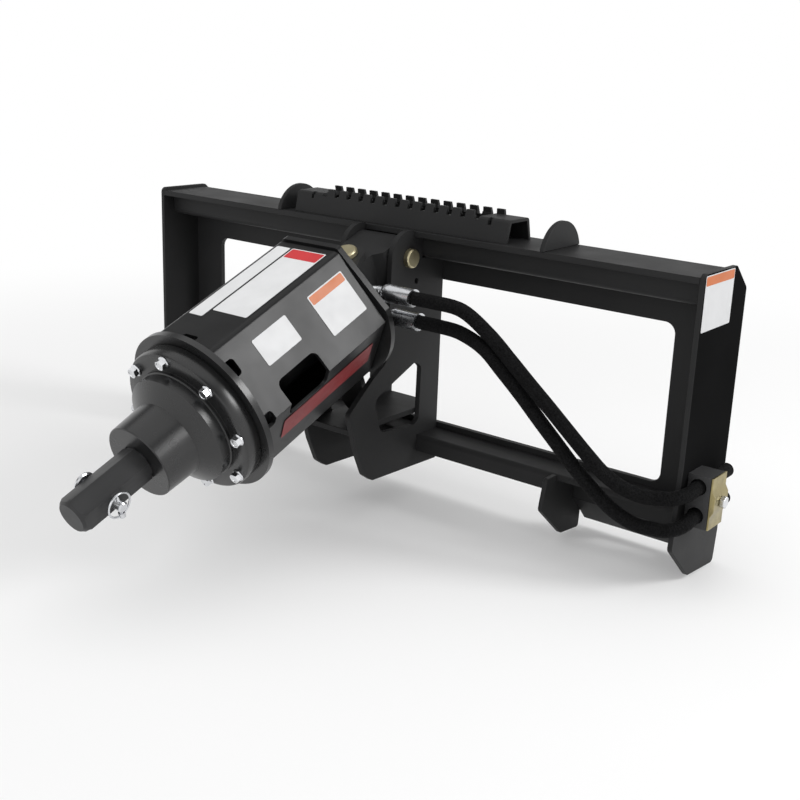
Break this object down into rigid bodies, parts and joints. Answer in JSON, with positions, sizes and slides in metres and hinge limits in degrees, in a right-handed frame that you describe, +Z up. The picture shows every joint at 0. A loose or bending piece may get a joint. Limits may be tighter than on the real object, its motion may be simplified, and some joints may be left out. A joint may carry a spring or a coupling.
{
  "type": "earth auger drive",
  "caption": "Planetary hydraulic auger drive in a hexagonal shell, hung by a two-way link on a wide quick-attach frame, with a hex output shaft, hitch pin and two hoses.",
  "frame": {"origin": "centre of the rear face of the main plate, where it meets the machine's coupler", "axes": "+X to the frame's hose side along its width, +Y back toward the machine, +Z up; the drive points to -Y and down"},
  "size_m": [1.1953, 0.8166, 0.5253],
  "materials": {
    "black_paint": "semi-gloss powder coat",
    "black_steel": "semi-gloss black over machined steel",
    "motor_paint": "black paint",
    "gold_zinc": "pale yellow zinc plate",
    "yellow_zinc": "yellow zinc plate",
    "zinc": "bright zinc plate",
    "chrome_fitting": "bright plate",
    "ferrule_steel": "plated, crimped",
    "bearing_steel": "ground",
    "gear_steel": "machined",
    "clamp_plastic": "moulded",
    "hose_rubber": "woven cover",
    "seal_rubber": "moulded"
  },
  "bodies": {
    "frame": {"end_plate_left": "black_paint", "end_plate_right": "black_paint", "attach_plate": "black_paint", "top_lip": "black_paint", "top_rail": "black_paint", "bottom_rail": "black_paint", "inner_gusset_left": "black_paint", "inner_gusset_right": "black_paint", "latch_foot_left": "black_paint", "latch_foot_right": "black_paint", "step_grip": "black_paint", "ear_left": "black_paint", "ear_right": "black_paint", "centre_plate_left": "black_paint", "centre_plate_right": "black_paint", "cradle_shelf": "black_paint", "lift_pin": "gold_zinc", "clamp_block": "clamp_plastic", "clamp_cover": "yellow_zinc", "clamp_bolt": "zinc", "hose_upper": "hose_rubber", "hose_lower": "hose_rubber"},
    "link": {"swing_link": "black_paint"},
    "drive": {"yoke_upper": "black_paint", "yoke_lower": "black_paint", "swing_pin": "gold_zinc", "back_plate": "black_paint", "housing_upper": "black_paint", "housing_lower": "black_paint", "housing_ring": "black_paint", "gearbox_case": "black_paint", "flange_bolt_1": "zinc", "flange_bolt_2": "zinc", "flange_bolt_3": "zinc", "flange_bolt_4": "zinc", "flange_bolt_5": "zinc", "flange_bolt_6": "zinc", "flange_bolt_7": "zinc", "flange_bolt_8": "zinc", "rear_bearing": "bearing_steel", "nose_bearing": "bearing_steel", "shaft_seal": "seal_rubber", "ring_gear": "gear_steel", "port_block": "motor_paint", "motor_housing": "motor_paint", "port_elbow_upper": "chrome_fitting", "port_elbow_lower": "chrome_fitting", "ferrule_upper": "ferrule_steel", "ferrule_lower": "ferrule_steel"},
    "output": {"planet_carrier": "gear_steel", "output_shaft": "black_steel", "hitch_pin": "zinc", "lynch_pin": "zinc"},
    "sun": {"sun_gear": "gear_steel"},
    "planet_1": {"planet_gear_1": "gear_steel"},
    "planet_2": {"planet_gear_2": "gear_steel"},
    "planet_3": {"planet_gear_3": "gear_steel"},
    "pin_ring": {"lynch_ring": "zinc"}
  },
  "joints": [
    {"name": "lift", "type": "hinge", "parent": "frame", "child": "link", "pos_m": [0, -0.1055, 0.178], "axis": [-1, 0, 0], "range_deg": [0, 50]},
    {"name": "swing", "type": "hinge", "parent": "link", "child": "drive", "pos_m": [0, -0.18324, 0.14564], "axis": [0, -0.3827, 0.9239], "range_deg": [-12, 12]},
    {"name": "output_turn", "type": "hinge", "parent": "drive", "child": "output", "pos_m": [0, -0.55744, -0.02234], "axis": [0, -0.9239, -0.3827], "continuous": true},
    {"name": "sun_turn", "type": "hinge", "parent": "drive", "child": "sun", "pos_m": [0, -0.47891, 0.01019], "axis": [0, -0.9239, -0.3827], "continuous": true},
    {"name": "planet_turn_1", "type": "hinge", "parent": "output", "child": "planet_1", "pos_m": [0.0405, -0.47891, 0.01019], "axis": [0, -0.9239, -0.3827], "continuous": true},
    {"name": "planet_turn_2", "type": "hinge", "parent": "output", "child": "planet_2", "pos_m": [-0.02025, -0.49233, 0.04259], "axis": [0, -0.9239, -0.3827], "continuous": true},
    {"name": "planet_turn_3", "type": "hinge", "parent": "output", "child": "planet_3", "pos_m": [-0.02025, -0.46549, -0.02222], "axis": [0, -0.9239, -0.3827], "continuous": true},
    {"name": "ring_flip", "type": "hinge", "parent": "output", "child": "pin_ring", "pos_m": [0.0308, -0.69046, -0.10624], "axis": [0, 0.9239, 0.3827], "range_deg": [0, 150]}
  ],
  "couplings": [
    {"joint": "sun_turn", "follows": "output_turn", "ratio": 4.5},
    {"joint": "planet_turn_1", "follows": "output_turn", "ratio": -2.8},
    {"joint": "planet_turn_2", "follows": "output_turn", "ratio": -2.8},
    {"joint": "planet_turn_3", "follows": "output_turn", "ratio": -2.8}
  ]
}
